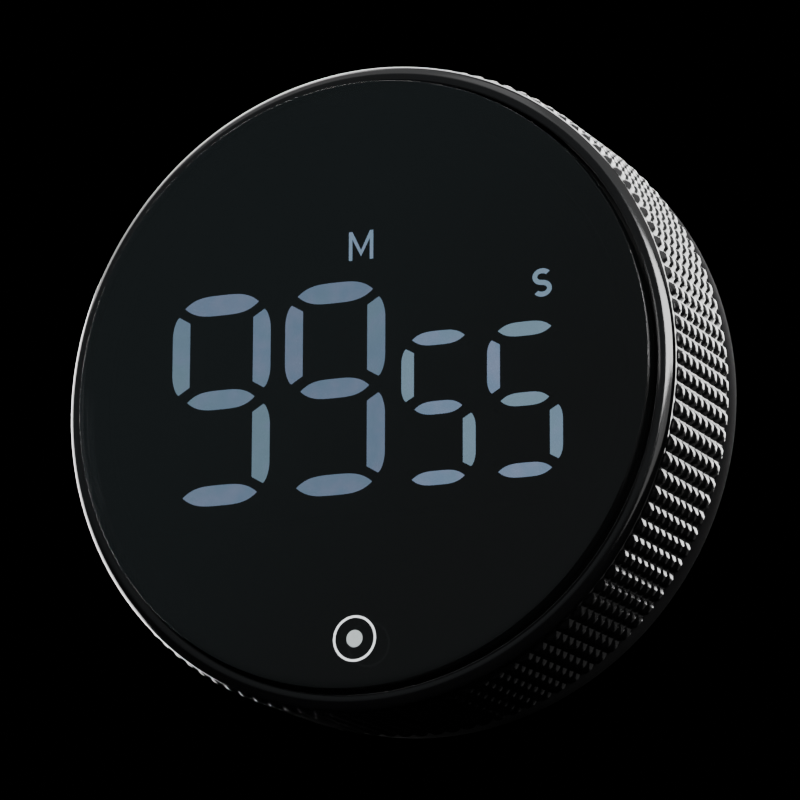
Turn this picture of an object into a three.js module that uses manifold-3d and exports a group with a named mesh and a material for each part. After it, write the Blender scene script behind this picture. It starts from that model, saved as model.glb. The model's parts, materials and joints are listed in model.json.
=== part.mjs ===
// Magnetic rotary kitchen timer: a knurled ring turns around a round, upright face.
// Millimetres. The assembly group stands the timer up, with its face towards -Y and +Z up.
// Inside that group x is right, y is up and z runs forwards, from the flat back at 0 to the lens.
import * as THREE from "three";
import { mergeVertices } from "three/addons/utils/BufferGeometryUtils.js";
import Module from "manifold-3d";

const wasm = await Module();
wasm.setup();

// Overall sizes
const dialDiameter = 78;
const timerDepth = 26.5;

// Clearances
const runGap = 0.3; // round a part that turns or slides
const seatGap = 0.25; // between parts that rest on each other
const fitGap = 0.3; // round a part that sits in a pocket or a hole
const lightGap = 0.12; // between a light guide and its cavity

// Dial ring
const dialR = dialDiameter / 2;
const dialWall = 2.4;
const dialBack = 2.8;
const dialFront = timerDepth - 1.8;
const lipDrop = 0.4;
const lipCrown = 1.1;
const rimRound = 0.6;
const knurlRows = 120;
const dialBore = dialR - dialWall;

// Ring gear inside the dial, and the encoder pinion that it turns
const gearModule = 0.8;
const pinionTeeth = 12;
const gearBacklash = 0.2;
const ringAddendum = 0.5;
const ringDedendum = 0.95;
const pinionAddendum = 0.75;
const pinionDedendum = 0.9;
const gearThick = 3.5;
const ringRim = 0.95; // of solid ring outside the tooth spaces
const ringTeeth = Math.round((2 * (dialBore - fitGap - ringRim - ringDedendum)) / gearModule);
const ringPitchR = (gearModule * ringTeeth) / 2;
const pinionPitchR = (gearModule * pinionTeeth) / 2;
const pinionInset = 0.3;
const pinionPinR = 1;
const pinionShaftR = 1.4;
const pinionAngle = THREE.MathUtils.degToRad(55);
const pinionX = (ringPitchR - pinionPitchR) * Math.cos(pinionAngle);
const pinionY = (ringPitchR - pinionPitchR) * Math.sin(pinionAngle);

// Cells, which set how far forward the front frame stands
const backWall = 1.6;
const cellR = 5.25;
const cellLength = 44.5;
const cellNub = 1.2;
const cellNubR = 1.9;
const cellPitch = 2 * cellR + 0.4;
const cellZ = backWall + 0.4 + cellR;
const frameBack = cellZ + cellR + fitGap;
const gearFront = frameBack - runGap;
const gearBack = gearFront - gearThick;

// Rear cover
const landR = dialBore - runGap; // what the dial ring runs on
const baseR = dialR - 3.5;
const coverWall = 2.1;
const coverR = landR - coverWall; // inside of the cup
const baseChamfer = 0.5;
const coverTop = gearBack - runGap;

// Battery bay
const springRoom = 3.6;
const contactThick = 0.4;
const contactBack = 0.4; // between a contact and the end of the bay
const bayWall = 1.8;
const doorLedge = 0.9;
const doorThick = backWall - runGap;
const contactX = (cellLength + springRoom + seatGap) / 2;
const bayX = contactX + contactThick + contactBack;
const bayY = cellPitch / 2 + cellR + 0.2;
const bayTop = cellZ + cellR - 0.1;

// Front frame
const deckThick = 1.4;
const deckTop = frameBack + deckThick;
const frameWall = 1.7;
const frameR = landR - frameWall;
const lensThick = 2;
const lensBack = timerDepth - lensThick;
const tapeThick = 0.2;
const carrierThick = 1.6;
const carrierTop = lensBack - 2 * seatGap - tapeThick + 0.1;
const carrierBack = carrierTop - carrierThick;
const frameTop = carrierBack - 0.5;

// Press face: lens, tape and carrier
const lensR = dialBore - 0.4;
const lensBevel = 0.25;
const carrierR = lensR - 0.4;
const windowR = carrierR - 2.8;
const windowLow = -16;
const hingeY = windowR + 0.55;
const hingeHalf = 5;
const hingeTabThick = 0.9;
const hingeTabDrop = 2.3;
const buttonY = -30.5;

// Tact switch under the foot of the face
const tactHalf = 3;
const plungerR = 1.7;
const plungerTop = carrierBack - 0.5 - seatGap;
const plungerShown = 0.9; // above the switch
const plungerSunk = 1; // inside it
const plungerStroke = 0.35;
const tactTop = plungerTop - plungerShown;

// Display
const displayR = windowR - 0.7;
const displayLow = windowLow + 0.6;
const displayHigh = 30;
const reflectorTop = lensBack - 0.4;
const reflectorThick = 2.9;
const reflectorBack = reflectorTop - reflectorThick;
const guidePlate = 0.5;
const guideBack = reflectorBack - seatGap - guidePlate;
const dieHeight = 0.5;
const displayThick = 0.8;
const displayTop = guideBack - seatGap - dieHeight;
const displayBack = displayTop - displayThick;
const legR = 1.2;

// Main board, behind the display by the height of its parts
const partRoom = 2.1;
const boardThick = 1;
const boardTop = displayBack - partRoom;
const boardBack = boardTop - boardThick;
const boardR = frameR - 0.7;
const onBoard = boardTop + seatGap;
const underBoard = boardBack - seatGap;

// Digits: centre, half width and half height to the middle of the strokes, stroke width
const bigDigit = { midX: 5.3, midY: 11.56, stroke: 2.2, plateX: 6.8, plateY: 13.4 };
const smallDigit = { midX: 3.88, midY: 8.33, stroke: 1.45, plateX: 5, plateY: 9.6 };
const digits = [
  { x: -18.6, y: -0.1, size: bigDigit },
  { x: -3.8, y: -0.1, size: bigDigit },
  { x: 9.4, y: -3.6, size: smallDigit },
  { x: 20.2, y: -3.6, size: smallDigit },
];
const letterStroke = 0.45;
const letterHigh = 3.2;
const letterM = { x: -0.5, y: 16.9 };
const letterS = { x: 22.4, y: 10 };

// Magnets, buzzer, volume switch and screws
const magnetR = 6;
const magnetThick = 2;
const magnetInset = 0.2;
const magnetY = 23.5;
const pocketWall = 1.3;
const buzzerR = 5.5;
const buzzerTall = 4;
const buzzerX = -15;
const buzzerY = 20.5;
const leadR = 0.45;
const leadSpread = 1.3;
const volumeX = 15;
const volumeY = -22;
const volumeTravel = 2;
const knobHalfX = 2.1;
const knobHalfY = 1.2;
const coverScrewX = 24;
const coverScrewY = 16.6;
const coverScrewR = 1;
const coverHeadR = 1.9;
const coverHeadTall = 1.1;
const coverBossR = 3;
const coverHeadSink = 0.7;
const boardScrewR = 0.8;
const boardHeadR = 1.7;
const boardHeadTall = 0.9;
const boardBossR = 2.3;
const boardScrewRing = frameR - 4.3;
const boardScrewAngles = [0, 100, 180].map(THREE.MathUtils.degToRad);

// Materials
const standard = (color, roughness, metalness = 0) =>
  new THREE.MeshStandardMaterial({ color, roughness, metalness });
const gloss = () => standard(0x090a0b, 0.12, 0.35);
const satin = () => standard(0x101112, 0.45);
const smoked = () => standard(0x0b0d0e, 0.06);
const frosted = () => standard(0x9fb2c4, 0.4);
const white = () => standard(0xe4e4de, 0.5);
const laminate = () => standard(0x14392a, 0.5);
const package_ = () => standard(0x161616, 0.55);
const steel = () => standard(0xa9adb0, 0.3, 1);
const nickel = () => standard(0xc6c2b6, 0.25, 1);
const acetal = () => standard(0xd9d6cc, 0.4);

// Solids
function solid(geometry) {
  const bare = geometry.clone();
  bare.deleteAttribute("normal");
  bare.deleteAttribute("uv");
  const merged = mergeVertices(bare, 1e-4);
  return new wasm.Manifold(
    new wasm.Mesh({
      numProp: 3,
      vertProperties: merged.attributes.position.array,
      triVerts: new Uint32Array(merged.index.array),
    }),
  );
}

function mesh(name, body, material) {
  const made = body.getMesh();
  const geometry = new THREE.BufferGeometry();
  geometry.setAttribute("position", new THREE.BufferAttribute(made.vertProperties, 3));
  geometry.setIndex(new THREE.BufferAttribute(made.triVerts, 1));
  geometry.computeVertexNormals();
  const result = new THREE.Mesh(geometry, material);
  result.name = name;
  return result;
}

function join(bodies) {
  return bodies.reduce((all, next) => all.add(next));
}

function cut(body, tools) {
  return tools.reduce((left, tool) => left.subtract(tool), body);
}

function disc(x, y, r, low, high, sides = 20) {
  const geometry = new THREE.CylinderGeometry(r, r, high - low, sides);
  geometry.rotateX(Math.PI / 2);
  geometry.translate(x, y, (low + high) / 2);
  return solid(geometry);
}

function block(x, y, halfX, halfY, low, high) {
  const geometry = new THREE.BoxGeometry(2 * halfX, 2 * halfY, high - low);
  geometry.translate(x, y, (low + high) / 2);
  return solid(geometry);
}

// A profile of [radius, z] pairs turned about the dial's axis.
function turned(profile, sides = 48) {
  const points = profile.map(([r, z]) => new THREE.Vector2(r, z));
  const geometry = new THREE.LatheGeometry(points, sides);
  geometry.rotateX(Math.PI / 2);
  return solid(geometry);
}

function slab(shape, low, high, curveSegments = 16) {
  const settings = { depth: high - low, bevelEnabled: false, curveSegments };
  const geometry = new THREE.ExtrudeGeometry(shape, settings);
  geometry.translate(0, 0, low);
  return solid(geometry);
}

function outline(points) {
  return new THREE.Shape(points.map(([x, y]) => new THREE.Vector2(x, y)));
}

function tube(path, r, steps, sides = 8) {
  const section = new THREE.Shape();
  for (let i = 0; i < sides; i++) {
    const a = (2 * Math.PI * i) / sides;
    section[i ? "lineTo" : "moveTo"](r * Math.cos(a), r * Math.sin(a));
  }
  return solid(new THREE.ExtrudeGeometry(section, { steps, extrudePath: path }));
}

// A disc cut off by two level chords.
function bandedDisc(r, low, high) {
  const lowAngle = Math.asin(low / r);
  const highAngle = Math.asin(Math.min(high / r, 1));
  const shape = new THREE.Shape();
  shape.absarc(0, 0, r, lowAngle, highAngle);
  shape.absarc(0, 0, r, Math.PI - highAngle, Math.PI - lowAngle);
  return shape;
}

// Dial
function dialRing() {
  const crest = dialBore + 0.7;
  const shoulder = dialFront - lipDrop;
  return turned(
    [
      [dialBore, dialBack],
      [dialR - rimRound, dialBack],
      [dialR, dialBack + rimRound],
      [dialR, shoulder - lipCrown],
      [dialR - 0.15, shoulder - 0.4],
      [dialR - rimRound, shoulder],
      [crest, dialFront],
      [dialBore + 0.3, dialFront - 0.1],
      [dialBore, dialFront - 0.5],
      [dialBore, dialBack],
    ],
    knurlRows,
  );
}

// Involute of the gear's base circle, as the half angle of a tooth at radius r.
function halfTooth(teeth, width, r) {
  const pitchR = (gearModule * teeth) / 2;
  const pressure = THREE.MathUtils.degToRad(20);
  const baseCircle = pitchR * Math.cos(pressure);
  const angle = Math.acos(Math.min(1, baseCircle / r));
  const involute = (a) => Math.tan(a) - a;
  return width / (2 * pitchR) + involute(pressure) - involute(angle);
}

// Outline of a gear with external teeth, with one tooth centred on startAngle.
function gearPoints(teeth, width, rootR, tipR, steps, startAngle) {
  const points = [];
  for (let tooth = 0; tooth < teeth; tooth++) {
    const centre = startAngle + (2 * Math.PI * tooth) / teeth;
    for (let i = 0; i < 2 * steps; i++) {
      const rising = i < steps;
      const share = (rising ? i : 2 * steps - 1 - i) / (steps - 1);
      const r = rootR + (tipR - rootR) * share;
      const a = centre + (rising ? -1 : 1) * halfTooth(teeth, width, r);
      points.push([r * Math.cos(a), r * Math.sin(a)]);
    }
  }
  return points;
}

const toothWidth = (Math.PI * gearModule) / 2;

function ringGear() {
  const spaces = gearPoints(
    ringTeeth,
    toothWidth + gearBacklash / 2,
    ringPitchR - ringAddendum,
    ringPitchR + ringDedendum,
    2,
    pinionAngle,
  );
  const blank = disc(0, 0, dialBore - fitGap, gearBack, gearFront, ringTeeth);
  return blank.subtract(slab(outline(spaces), gearBack - 1, gearFront + 1));
}

function encoderPinion() {
  const teeth = gearPoints(
    pinionTeeth,
    toothWidth - gearBacklash / 2,
    pinionPitchR - pinionDedendum,
    pinionPitchR + pinionAddendum,
    5,
    pinionAngle,
  );
  const wheel = slab(outline(teeth), gearBack + pinionInset, gearFront - pinionInset);
  const pin = disc(0, 0, pinionPinR, coverTop - 1, gearFront, 20);
  const shaft = disc(0, 0, pinionShaftR, gearBack + 1, deckTop + 0.4, 20);
  return join([wheel, pin, shaft]).translate([pinionX, pinionY, 0]);
}

// Casing
function coverScrewPlaces() {
  return [-1, 1].flatMap((sy) => [-1, 1].map((sx) => [sx * coverScrewX, sy * coverScrewY]));
}

function boardScrewPlaces() {
  return boardScrewAngles.map((a) => [
    boardScrewRing * Math.cos(a),
    boardScrewRing * Math.sin(a),
  ]);
}

function rearCover() {
  const cup = turned([
    [0, 0],
    [baseR - baseChamfer, 0],
    [baseR, baseChamfer],
    [baseR, dialBack - runGap],
    [landR, dialBack + runGap],
    [landR, coverTop],
    [coverR, coverTop],
    [coverR, backWall],
    [0, backWall],
  ]);
  const bay = block(0, 0, bayX + bayWall, bayY + bayWall, backWall - 0.5, bayTop);
  const bosses = coverScrewPlaces().map(([x, y]) =>
    disc(x, y, coverBossR, backWall - 0.5, coverTop - 1.8, 14),
  );
  const pockets = [-1, 1].map((s) =>
    disc(0, s * magnetY, magnetR + fitGap + pocketWall, 1, magnetTop() + pocketWall, 28),
  );
  const cradle = disc(buzzerX, buzzerY, buzzerR + fitGap + 1, 1, backWall + 2, 24);
  const pivot = disc(pinionX, pinionY, pinionPinR + fitGap + 1.1, 1, coverTop + 0.2, 14);
  const body = join([cup, bay, ...bosses, ...pockets, cradle, pivot]);
  return cut(body, [
    block(0, 0, bayX, bayY, backWall, bayTop + 1),
    block(0, 0, bayX + doorLedge, bayY + doorLedge, -1, backWall),
    ...coverScrewPlaces().flatMap(([x, y]) => [
      disc(x, y, coverScrewR + fitGap, -1, coverTop, 10),
      disc(x, y, coverHeadR + fitGap, -1, coverHeadSink + coverHeadTall + seatGap, 14),
    ]),
    ...[-1, 1].map((s) => disc(0, s * magnetY, magnetR + fitGap, -1, magnetTop(), 28)),
    disc(buzzerX, buzzerY, buzzerR + fitGap, backWall, backWall + 3, 24),
    disc(pinionX, pinionY, pinionPinR + fitGap, coverTop - 1.4, coverTop + 1, 12),
    block(volumeX, volumeY, knobSlotX(), knobHalfY + fitGap, -1, backWall + 1),
    ...grillePlaces().map(([x, y]) => disc(x, y, 0.6, -1, backWall + 1, 8)),
  ]);
}

function magnetTop() {
  return magnetInset + magnetThick + fitGap;
}

function knobSlotX() {
  return knobHalfX + volumeTravel + runGap;
}

function grillePlaces() {
  const ring = [...Array(6).keys()].map((i) => [
    buzzerX + 2.4 * Math.cos((i * Math.PI) / 3),
    buzzerY + 2.4 * Math.sin((i * Math.PI) / 3),
  ]);
  return [[buzzerX, buzzerY], ...ring];
}

function frontFrame() {
  const cup = turned([
    [0, frameBack],
    [landR, frameBack],
    [landR, frameTop],
    [frameR, frameTop],
    [frameR, deckTop],
    [0, deckTop],
  ]);
  const posts = coverScrewPlaces().map(([x, y]) =>
    disc(x, y, coverBossR - 0.7, coverTop - 1.5, deckTop - 0.2, 14),
  );
  const studs = boardScrewPlaces().map(([x, y]) =>
    disc(x, y, boardBossR, deckTop - 0.5, boardBack - seatGap, 14),
  );
  const keeperLow = hingeY - hingeTabThick / 2 - fitGap - 1.2;
  const keeperMid = (keeperLow + frameR + 0.4) / 2;
  const keeperDepth = (frameR + 0.4 - keeperLow) / 2;
  const keeper = block(
    0,
    keeperMid,
    hingeHalf + fitGap + 1.2,
    keeperDepth,
    carrierBack - hingeTabDrop - fitGap - 0.8,
    frameTop,
  );
  const body = join([cup, ...posts, ...studs, keeper]);
  return cut(body, [
    ...coverScrewPlaces().map(([x, y]) =>
      disc(x, y, coverScrewR + fitGap, coverTop - 2, frameBack, 10),
    ),
    ...boardScrewPlaces().map(([x, y]) =>
      disc(x, y, boardScrewR + fitGap, frameBack + 0.4, boardBack, 10),
    ),
    block(
      0,
      hingeY,
      hingeHalf + fitGap,
      hingeTabThick / 2 + fitGap,
      carrierBack - hingeTabDrop - fitGap,
      frameTop + 1,
    ),
    disc(pinionX, pinionY, encoderR() + fitGap, frameBack - 1, deckTop + 1, 24),
    disc(buzzerX, buzzerY, leadSpread + leadR + 1, frameBack - 1, deckTop + 1, 16),
    block(volumeX, volumeY, switchHalfX() + fitGap, 2.4, frameBack - 1, deckTop + 1),
    ...[-1, 1].map((s) =>
      block(
        contactX + contactThick / 2,
        (s * cellPitch) / 2,
        contactThick / 2 + fitGap,
        1.2 + fitGap,
        frameBack - 1,
        deckTop + 1,
      ),
    ),
  ]);
}

function encoderR() {
  return 3.8;
}

function switchHalfX() {
  return volumeTravel + 2.4;
}

function batteryDoor() {
  const halfX = bayX + doorLedge - runGap;
  const halfY = bayY + doorLedge - runGap;
  const plate = block(0, 0, halfX, halfY, 0, doorThick);
  const thumb = disc(halfX - 7, 0, 4.5, -1, 0.6, 32);
  const ribs = [0, 1, 2].map((i) => block(halfX - 8.6 + 1.6 * i, 0, 0.35, 2.6, 0.2, 0.9));
  return plate.subtract(thumb).add(join(ribs));
}

// Press face
function lens() {
  const profile = [
    [0, lensBack],
    [lensR, lensBack],
    [lensR, timerDepth - lensBevel],
    [lensR - lensBevel, timerDepth],
    [0, timerDepth],
  ];
  return turned(profile, 60);
}

function lensTape() {
  const low = carrierTop + seatGap;
  const outer = disc(0, 0, carrierR - 0.4, low, low + tapeThick, 48);
  return outer.subtract(disc(0, 0, windowR + 0.4, low - 1, low + 1, 48));
}

function faceCarrier() {
  const plate = disc(0, 0, carrierR, carrierBack, carrierTop, 48);
  const window = slab(bandedDisc(windowR, windowLow, windowR), carrierBack - 1, carrierTop + 1);
  const post = disc(0, buttonY, 2.2, carrierBack - 0.5, carrierTop - 0.5, 16);
  const tab = block(
    0,
    hingeY,
    hingeHalf,
    hingeTabThick / 2,
    carrierBack - hingeTabDrop,
    carrierBack + 0.5,
  );
  return join([plate.subtract(window), post, tab]);
}

// Display
// A level stroke is widest in the middle and comes to a point at both ends.
function levelStroke(half, thick) {
  const side = [
    [-half, 0],
    [-0.78 * half, -0.8 * thick],
    [-0.45 * half, -thick],
    [0.45 * half, -thick],
    [0.78 * half, -0.8 * thick],
  ];
  return [...side, ...side.map(([x, y]) => [-x, -y])];
}

// An upright stroke has a straight inner edge on the left and sloping ends.
function uprightStroke(half, thick) {
  return [
    [-thick, -0.72 * half],
    [-0.2 * thick, -half],
    [thick, -0.8 * half],
    [thick, 0.8 * half],
    [-0.2 * thick, half],
    [-thick, 0.72 * half],
  ];
}

// The seven strokes of a digit, each as an outline, drawn grow wider all round.
function digitStrokes(size, grow) {
  const thick = size.stroke / 2 - 0.2 + grow;
  const levelHalf = size.midX - 0.6 * size.stroke + 0.3 + grow;
  const uprightHalf = size.midY / 2 - 0.55 * size.stroke + grow;
  const levels = [-1, 0, 1].map((row) =>
    levelStroke(levelHalf, thick).map(([x, y]) => [x, y + row * size.midY]),
  );
  const uprights = [-1, 1].flatMap((row) =>
    [-1, 1].map((side) =>
      uprightStroke(uprightHalf, thick).map(([x, y]) => [
        side * (x + size.midX),
        side * y + (row * size.midY) / 2,
      ]),
    ),
  );
  return [...levels, ...uprights];
}

function digitGuide({ x, y, size }) {
  const plate = block(0, 0, size.plateX, size.plateY, guideBack, guideBack + guidePlate);
  const strokes = digitStrokes(size, 0).map((points) =>
    slab(outline(points), guideBack + 0.1, reflectorTop),
  );
  return join([plate, ...strokes]).translate([x, y, 0]);
}

function strokeM(grow) {
  const w = 0.4 * letterHigh;
  const h = letterHigh / 2;
  const t = letterStroke + grow;
  return [
    [-w - grow, -h - grow],
    [-w + t, -h - grow],
    [-w + t, h - 2.2 * t],
    [0, -0.25 * h],
    [w - t, h - 2.2 * t],
    [w - t, -h - grow],
    [w + grow, -h - grow],
    [w + grow, h + grow],
    [w - 0.6 * t, h + grow],
    [0, 0.3 * h],
    [-w + 0.6 * t, h + grow],
    [-w - grow, h + grow],
  ];
}

// S as a band of constant width along two arcs that meet in the middle.
function strokeS(grow) {
  const r = letterHigh / 4 - letterStroke / 4;
  const half = letterStroke / 2 + grow;
  const sweep = THREE.MathUtils.degToRad(205);
  const steps = 9;
  const centreLine = [];
  for (let i = 0; i <= steps; i++) {
    const a = THREE.MathUtils.degToRad(65) + (sweep * i) / steps;
    centreLine.push([r * Math.cos(a), r + r * Math.sin(a), a]);
  }
  const upper = centreLine.map(([x, y, a]) => [x, y, Math.cos(a), Math.sin(a)]);
  const lower = upper.map(([x, y, nx, ny]) => [-x, -y, nx, ny]).reverse();
  const path = [...upper, ...lower.slice(1)];
  const left = path.map(([x, y, nx, ny]) => [x + half * nx, y + half * ny]);
  const right = path.map(([x, y, nx, ny]) => [x - half * nx, y - half * ny]);
  return [...left, ...right.reverse()];
}

function letterGuide({ x, y }, stroke) {
  const plate = block(0, 0, 2, 2.2, guideBack, guideBack + guidePlate);
  const letter = slab(outline(stroke(0)), guideBack + 0.1, reflectorTop);
  return plate.add(letter).translate([x, y, 0]);
}

function legPlaces() {
  const x = displayR * 0.87;
  return [
    [-x, displayLow + 2.6],
    [x, displayLow + 2.6],
    [0, displayHigh - 2.6],
  ];
}

function displayReflector() {
  const plate = slab(bandedDisc(displayR, displayLow, displayHigh), reflectorBack, reflectorTop);
  const legs = legPlaces().map(([x, y]) =>
    disc(x, y, legR, onBoard, reflectorBack + 0.5, 12),
  );
  const cavity = (points, x, y) =>
    slab(outline(points), reflectorBack - 1, reflectorTop + 1).translate([x, y, 0]);
  const cavities = digits.flatMap(({ x, y, size }) =>
    digitStrokes(size, lightGap).map((points) => cavity(points, x, y)),
  );
  return cut(join([plate, ...legs]), [
    ...cavities,
    cavity(strokeM(lightGap), letterM.x, letterM.y),
    cavity(strokeS(lightGap), letterS.x, letterS.y),
  ]);
}

function diePlaces() {
  const perDigit = ({ x, y, size }) => [
    ...[-1, 0, 1].map((row) => [x, y + row * size.midY]),
    ...[-1, 1].flatMap((row) =>
      [-1, 1].map((side) => [x + side * size.midX, y + (row * size.midY) / 2]),
    ),
  ];
  return [...digits.flatMap(perDigit), [letterM.x, letterM.y], [letterS.x, letterS.y]];
}

function displayBoard() {
  const plate = slab(bandedDisc(displayR, displayLow, displayHigh), displayBack, displayTop);
  const dies = diePlaces().map(([x, y]) =>
    block(x, y, 0.5, 0.3, displayTop - 0.2, displayTop + dieHeight),
  );
  const legHoles = legPlaces().map(([x, y]) =>
    disc(x, y, legR + fitGap, displayBack - 1, displayTop + 1, 12),
  );
  return cut(join([plate, ...dies]), legHoles);
}

// Electronics
function mainBoard() {
  const plate = disc(0, 0, boardR, boardBack, boardTop, 48);
  const holes = boardScrewPlaces().map(([x, y]) =>
    disc(x, y, boardScrewR + fitGap, boardBack - 1, boardTop + 1, 12),
  );
  return cut(plate, holes);
}

function controllerChip() {
  const body = block(-9, -6, 3.5, 3.5, onBoard + 0.1, onBoard + 1.2);
  const pins = [-1, 1].flatMap((side) =>
    [...Array(8).keys()].map((i) =>
      block(-9 + side * 4, -9.05 + 0.87 * i, 0.9, 0.2, onBoard, onBoard + 0.4),
    ),
  );
  return join([body, ...pins]);
}

function capacitor() {
  const x = -15;
  const y = -24;
  return disc(x, y, 2.5, onBoard, carrierBack - 1.2, 20);
}

function tactSwitchBody() {
  const body = block(0, buttonY, tactHalf, tactHalf, onBoard, tactTop);
  const floor = tactTop - plungerSunk - plungerStroke - seatGap;
  return body.subtract(disc(0, buttonY, plungerR + fitGap, floor, tactTop + 1, 16));
}

function tactPlunger() {
  return disc(0, buttonY, plungerR, tactTop - plungerSunk, plungerTop, 16);
}

function encoderBody() {
  const can = disc(pinionX, pinionY, encoderR(), frameBack + 0.1, underBoard, 24);
  const bore = disc(pinionX, pinionY, pinionShaftR + fitGap, frameBack - 1, deckTop + 0.8, 16);
  return can.subtract(bore);
}

function slideSwitchBody() {
  const low = frameBack - 1.2;
  const body = block(volumeX, volumeY, switchHalfX(), 2, low, underBoard);
  const slot = block(volumeX, volumeY, volumeTravel + 1, 1, low - 1, low + 1.8);
  return body.subtract(slot);
}

function slideSwitchLever() {
  return block(volumeX, volumeY, 0.7, 0.7, coverTop + 0.4, frameBack + 0.2);
}

function volumeKnob() {
  const pad = block(volumeX, volumeY, knobHalfX, knobHalfY, 0.4, backWall + 0.6);
  const ribs = [-1, 0, 1].map((i) =>
    block(volumeX + 1.3 * i, volumeY, 0.3, knobHalfY, 0.1, 1),
  );
  const flangeLow = backWall + runGap;
  const flange = block(volumeX, volumeY, knobHalfX + 2.6, 2.1, flangeLow, flangeLow + 0.8);
  const stem = block(volumeX, volumeY, 1.9, 1, flangeLow + 0.4, coverTop - 0.2);
  const prongs = [-1, 1].map((s) =>
    block(volumeX + 1.45 * s, volumeY, 0.45, 1, coverTop - 0.6, coverTop + 1.9),
  );
  return join([pad, ...ribs, flange, stem, ...prongs]);
}

function boardConnector() {
  return block(0, 22.5, 8, 1.5, onBoard, displayBack - seatGap);
}

function crystal() {
  const pill = new THREE.Shape();
  pill.absarc(6, 0, 1.6, -Math.PI / 2, Math.PI / 2);
  pill.absarc(0, 0, 1.6, Math.PI / 2, (3 * Math.PI) / 2);
  return slab(pill, onBoard, displayBack - 0.4, 8).translate([4, -8, 0]);
}

// Cells and contacts
function cell(side) {
  const tip = contactX - seatGap;
  const profile = [
    [0, tip - cellLength],
    [cellR - 0.4, tip - cellLength],
    [cellR, tip - cellLength + 0.4],
    [cellR, tip - cellNub - 0.4],
    [cellR - 0.4, tip - cellNub],
    [cellNubR, tip - cellNub],
    [cellNubR, tip],
    [0, tip],
  ];
  const lying = turned(profile, 24).rotate([0, 90, side > 0 ? 0 : 180]);
  return lying.translate([0, (side * cellPitch) / 2, cellZ]);
}

class Coil extends THREE.Curve {
  constructor(y, face) {
    super();
    this.y = y;
    this.face = face;
  }

  getPoint(t) {
    const turn = 2 * Math.PI * 3 * t;
    const r = 3.2 - 1.2 * t;
    const x = contactX + 0.15 - (springRoom - seatGap + 0.05) * t;
    return new THREE.Vector3(
      this.face * x,
      this.y + r * Math.cos(turn),
      cellZ + r * Math.sin(turn),
    );
  }
}

function contactPlate(face, y, halfY) {
  return block(
    face * (contactX + contactThick / 2),
    y,
    contactThick / 2,
    halfY,
    cellZ - 4.4,
    cellZ + 4.4,
  );
}

function contactTab(y) {
  const x = contactX + contactThick / 2;
  return block(x, y, contactThick / 2, 1.2, cellZ + 3, underBoard);
}

function contactSpring(face, y) {
  return tube(new Coil(y, face), 0.25, 36, 5);
}

function contactBridge() {
  const plate = contactPlate(-1, 0, cellPitch / 2 + 4.2);
  return plate.add(contactSpring(-1, cellPitch / 2));
}

function contactPositive() {
  const y = cellPitch / 2;
  return contactPlate(1, y, 4.2).add(contactTab(y));
}

function contactNegative() {
  const y = -cellPitch / 2;
  return join([contactPlate(1, y, 4.2), contactTab(y), contactSpring(1, y)]);
}

// Back fittings and fasteners
function buzzer() {
  const low = backWall + seatGap;
  const can = disc(buzzerX, buzzerY, buzzerR, low, low + buzzerTall, 24);
  return can.subtract(disc(buzzerX, buzzerY, 1, low - 1, low + 1.5, 10));
}

function buzzerLead(side) {
  const x = buzzerX + side * leadSpread;
  const low = backWall + 2 * seatGap + buzzerTall;
  const middle = (low + underBoard) / 2;
  const path = new THREE.CubicBezierCurve3(
    new THREE.Vector3(x, buzzerY, low),
    new THREE.Vector3(x, buzzerY + side * 1.2, middle),
    new THREE.Vector3(x, buzzerY - side * 1.2, middle),
    new THREE.Vector3(x, buzzerY, underBoard),
  );
  return tube(path, leadR, 6, 6);
}

function screw(x, y, shankR, headR, low, headLow, headTop, driveFromBack) {
  const shank = disc(x, y, shankR, low, headTop - 0.2, 10);
  const head = disc(x, y, headR, headLow, headTop, 16);
  const outside = driveFromBack ? headLow : headTop;
  const drive = [0, 90].map((turn) =>
    block(0, 0, headR * 0.62, 0.22, outside - 0.5, outside + 0.5)
      .rotate([0, 0, turn])
      .translate([x, y, 0]),
  );
  return cut(shank.add(head), drive);
}

function coverScrew([x, y]) {
  const head = coverHeadSink + coverHeadTall;
  const shank = disc(x, y, coverScrewR, head - 0.2, frameBack - 1, 10);
  const top = screw(x, y, coverScrewR, coverHeadR, coverHeadSink + 0.6, coverHeadSink, head, true);
  return shank.add(top);
}

function boardScrew([x, y]) {
  const head = onBoard + boardHeadTall;
  return screw(x, y, boardScrewR, boardHeadR, frameBack + 0.8, onBoard, head, false);
}

// Assembly
const timer = new THREE.Group();
timer.rotation.x = Math.PI / 2;

const dial = new THREE.Group();
dial.add(mesh("dial_ring", dialRing(), gloss()));
dial.add(mesh("ring_gear", ringGear(), acetal()));

const casing = new THREE.Group();
casing.add(mesh("rear_cover", rearCover(), satin()));
casing.add(mesh("front_frame", frontFrame(), satin()));
casing.add(mesh("battery_door", batteryDoor(), satin()));
coverScrewPlaces().forEach((place, i) =>
  casing.add(mesh("cover_screw_" + (i + 1), coverScrew(place), steel())),
);

const pressFace = new THREE.Group();
pressFace.add(mesh("lens", lens(), smoked()));
pressFace.add(mesh("lens_tape", lensTape(), satin()));
pressFace.add(mesh("face_carrier", faceCarrier(), satin()));

const display = new THREE.Group();
display.add(mesh("display_reflector", displayReflector(), satin()));
digits.forEach((place, i) =>
  display.add(mesh("digit_guide_" + (i + 1), digitGuide(place), frosted())),
);
display.add(mesh("letter_guide_m", letterGuide(letterM, strokeM), frosted()));
display.add(mesh("letter_guide_s", letterGuide(letterS, strokeS), frosted()));
display.add(mesh("display_board", displayBoard(), white()));

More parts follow.
